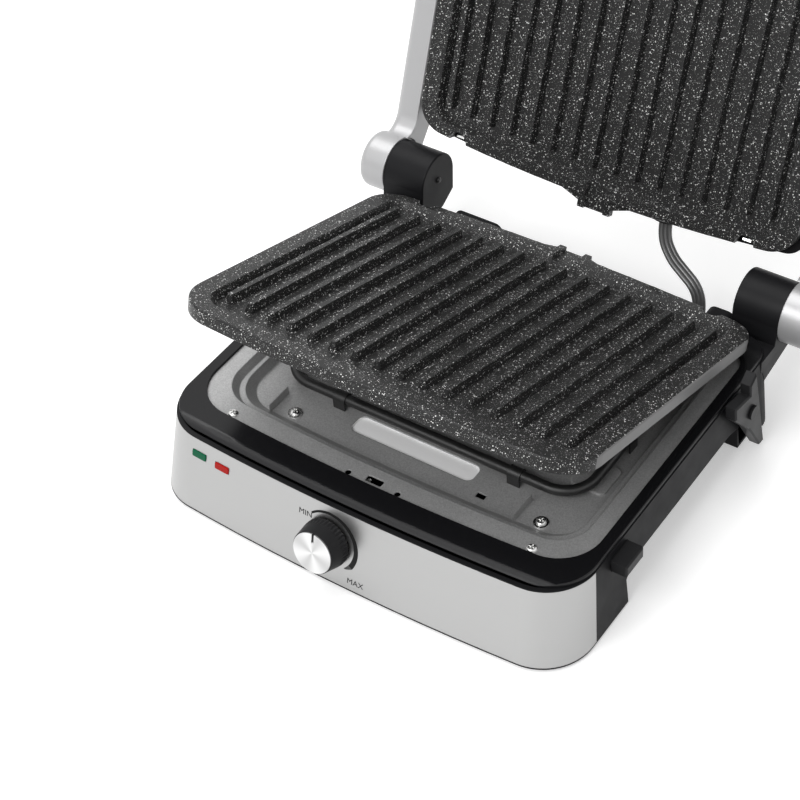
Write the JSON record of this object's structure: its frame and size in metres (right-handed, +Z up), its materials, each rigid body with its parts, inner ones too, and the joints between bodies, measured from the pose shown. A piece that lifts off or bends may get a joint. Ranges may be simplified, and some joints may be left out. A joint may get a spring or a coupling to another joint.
{
  "type": "panini press",
  "caption": "Contact grill with a bowed steel front, ribbed lift-out plates on a tilting lid and base, and a side-hinged pair of arms with a handle.",
  "frame": {"origin": "on the ground under the middle of the cooking well", "axes": "+X to the right, +Y to the back, +Z up"},
  "size_m": [0.354, 0.4651, 0.368],
  "materials": {
    "moulded_black": "satin",
    "gloss_black": "gloss",
    "stainless": "brushed",
    "pressed_steel": "matte",
    "enamelled_steel": "matte",
    "heater_steel": "satin",
    "bright_steel": "polished",
    "cast_silver": "satin",
    "stone_coating": "matte",
    "spun_aluminium": "satin",
    "rubber": "matte",
    "lead_sleeve": "satin",
    "ceramic": "matte",
    "green_lens": "gloss",
    "red_lens": "gloss"
  },
  "bodies": {
    "base": {"base_housing": "moulded_black", "base_cover": "enamelled_steel", "rubber_feet": "rubber", "front_fascia": "stainless", "top_bezel": "gloss_black", "lower_tray": "pressed_steel", "lower_heating_element": "heater_steel", "lower_element_clips": "bright_steel", "tray_screws": "bright_steel", "tray_post_screws": "bright_steel", "lower_plate_clips": "bright_steel", "thermostat": "ceramic", "green_lamp_lens": "green_lens", "red_lamp_lens": "red_lens", "lamp_holders": "moulded_black", "left_hinge_tower": "moulded_black", "right_hinge_tower": "moulded_black", "left_hinge_pin": "bright_steel", "right_hinge_pin": "bright_steel", "knuckle_screws": "bright_steel", "lever_pin": "bright_steel", "terminal_block": "ceramic", "base_lead_gland": "rubber", "lid_lead": "lead_sleeve"},
    "knob": {"thermostat_shaft": "bright_steel", "thermostat_knob": "moulded_black", "knob_cap": "spun_aluminium"},
    "release": {"release_button": "moulded_black", "latch_bar": "bright_steel"},
    "lever": {"height_lever": "moulded_black"},
    "drip_cup": {"drip_tray": "moulded_black"},
    "lower_plate": {"lower_plate": "stone_coating"},
    "arms": {"left_arm": "cast_silver", "right_arm": "cast_silver", "handle_tube": "stainless", "handle_grip": "moulded_black", "lid_pivots": "bright_steel"},
    "lid": {"lid_frame": "moulded_black", "lid_cover": "stainless", "upper_tray": "pressed_steel", "upper_heating_element": "heater_steel", "upper_element_clips": "bright_steel", "upper_tray_screws": "bright_steel", "upper_plate_clips": "bright_steel", "lid_lead_gland": "rubber"},
    "lid_release": {"lid_release_slide": "moulded_black"},
    "upper_plate": {"upper_plate": "stone_coating"}
  },
  "joints": [
    {"name": "lid_hinge", "type": "hinge", "parent": "base", "child": "arms", "pos_m": [0, 0.1442, 0.0708], "axis": [1, 0, 0], "range_deg": [0, 112.31], "deforming": ["lid_lead"]},
    {"name": "lid_float", "type": "hinge", "parent": "arms", "child": "lid", "pos_m": [0, 0.2204, 0.20594], "axis": [-1, 0, 0], "range_deg": [-5, 0]},
    {"name": "upper_plate_release", "type": "hinge", "parent": "lid", "child": "upper_plate", "pos_m": [0, 0.16266, 0.09155], "axis": [-1, 0, 0], "range_deg": [-12, 0]},
    {"name": "lower_plate_lift", "type": "hinge", "parent": "base", "child": "lower_plate", "pos_m": [0, 0.126, 0.055], "axis": [1, 0, 0], "range_deg": [0, 17.36]},
    {"name": "thermostat_turn", "type": "hinge", "parent": "base", "child": "knob", "pos_m": [-0.0121, -0.14647, 0.03108], "axis": [0.0065, 0.9703, -0.2419], "range_deg": [0, 270]},
    {"name": "release_press", "type": "slide", "parent": "base", "child": "release", "axis": [-1, 0, 0], "range_m": [0, 0.003], "stiffness_N_per_m": 400},
    {"name": "lid_release_slide", "type": "slide", "parent": "lid", "child": "lid_release", "axis": [-1, 0, 0], "range_m": [0, 0.004], "stiffness_N_per_m": 300},
    {"name": "height_lever_turn", "type": "hinge", "parent": "base", "child": "lever", "pos_m": [0.16265, 0.07, 0.048], "axis": [1, 0, 0], "range_deg": [-15, 15]},
    {"name": "drip_cup_pull", "type": "slide", "parent": "base", "child": "drip_cup", "axis": [0, 1, 0], "range_m": [0, 0.06]}
  ],
  "couplings": [
    {"joint": "lower_plate_lift", "follows": "lid_hinge", "ratio": 0.15457}
  ]
}
